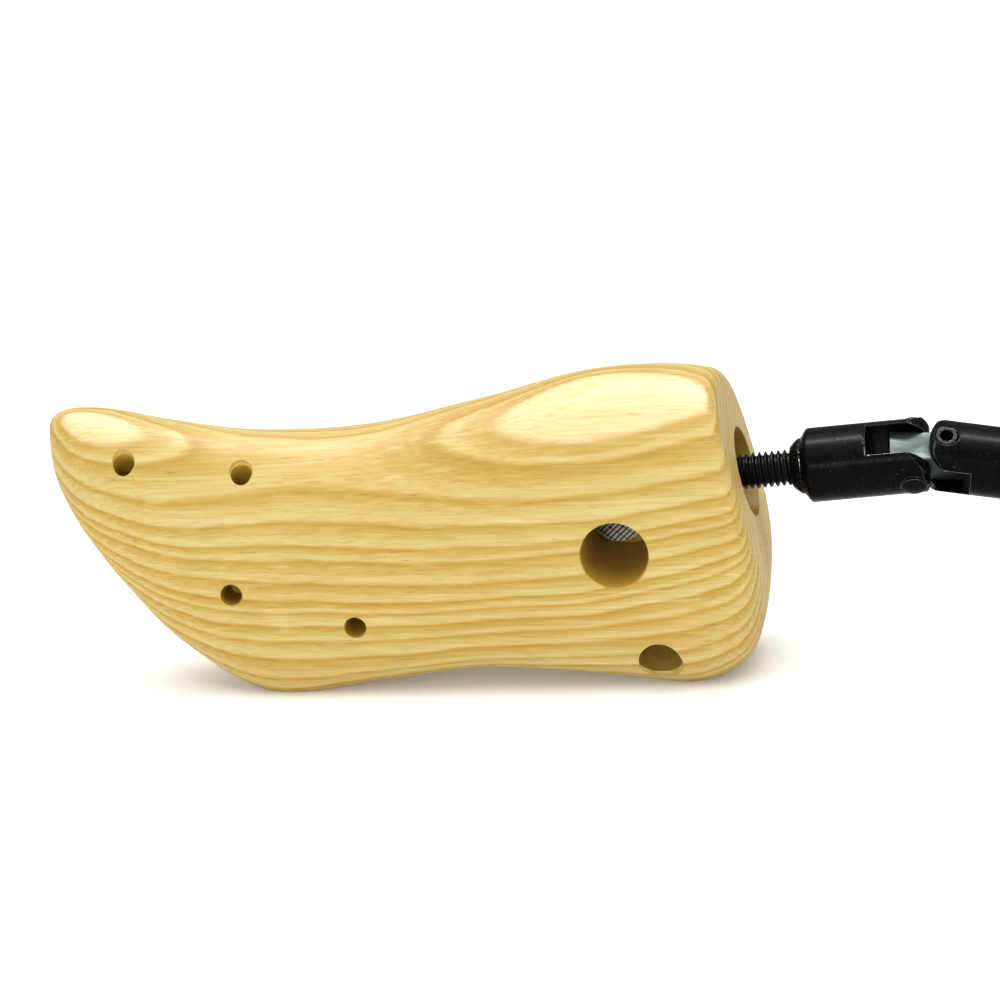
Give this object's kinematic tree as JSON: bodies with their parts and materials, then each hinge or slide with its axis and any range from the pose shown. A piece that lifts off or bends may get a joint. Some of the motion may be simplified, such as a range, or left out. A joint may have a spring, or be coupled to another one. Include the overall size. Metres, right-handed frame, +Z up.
{
  "type": "boot stretcher",
  "caption": "Foot-shaped wooden last in two hinged halves that a screw and wedge spread apart, turned by a long T-handle through a universal joint.",
  "frame": {"origin": "on the table, midway between the toe tip and the far side of the grips, in the seam plane", "axes": "+X from the toe towards the handle, +Y from the instep half towards the sole half, +Z up; the last lies on its side edge"},
  "size_m": [0.5303, 0.0981, 0.0875],
  "materials": {
    "pine": "sanded bare pine",
    "black_steel": "black oxide, oiled",
    "bright_steel": "machined, bare",
    "spring_steel": "drawn wire",
    "bronze": "turned bronze",
    "black_plastic": "moulded sleeve"
  },
  "bodies": {
    "sole": {"sole_half": "pine", "hinge_leaf_sole": "bright_steel", "hinge_pin": "bright_steel", "hinge_screws_sole": "bright_steel", "spindle_bearing": "black_steel", "bearing_bolt": "bright_steel", "barrel_nut": "bright_steel", "guide_plate": "bright_steel", "guide_screws": "bright_steel", "return_spring": "spring_steel", "spring_pin_sole": "bright_steel"},
    "instep": {"instep_half": "pine", "hinge_leaf_instep": "bright_steel", "hinge_screws_instep": "bright_steel", "ramp_plate": "bright_steel", "ramp_screws": "bright_steel", "spring_pin_instep": "bright_steel"},
    "spindle": {"threaded_rod": "black_steel", "thrust_collars": "black_steel", "thrust_washers": "bronze", "spindle_yoke": "black_steel", "domed_pin": "black_steel"},
    "wedge": {"wedge_nut": "bright_steel"},
    "joint_block": {"pivot_block": "bright_steel"},
    "handle": {"tubular_pin": "black_steel", "handle_yoke": "black_steel", "handle_shaft": "black_steel", "handle_head": "black_steel", "t_bar": "black_steel", "grip_sleeves": "black_plastic"}
  },
  "joints": [
    {"name": "screw_turn", "type": "hinge", "parent": "sole", "child": "spindle", "pos_m": [-0.06991, 0, 0.0548], "axis": [0.9981, 0, 0.061], "range_deg": [0, 5040]},
    {"name": "wedge_travel", "type": "slide", "parent": "sole", "child": "wedge", "axis": [0.9981, 0, 0.061], "range_m": [0, 0.0246]},
    {"name": "halves_open", "type": "hinge", "parent": "sole", "child": "instep", "pos_m": [-0.25791, 0, 0.065], "axis": [0, 0, -1], "range_deg": [0, 5.01], "deforming": ["return_spring"]},
    {"name": "joint_bend_1", "type": "hinge", "parent": "spindle", "child": "joint_block", "pos_m": [-0.02499, 0, 0.05755], "axis": [-0.0359, 0.809, 0.5867], "range_deg": [-28.7, 7.3]},
    {"name": "joint_bend_2", "type": "hinge", "parent": "joint_block", "child": "handle", "pos_m": [-0.01658, 0.00093, 0.05678], "axis": [0.1368, -0.5776, 0.8048], "range_deg": [-10.1, 25.9]}
  ],
  "couplings": [
    {"joint": "wedge_travel", "follows": "screw_turn", "m_per_rad": 0.00027852},
    {"joint": "halves_open", "follows": "screw_turn", "ratio": 0.00099206}
  ]
}
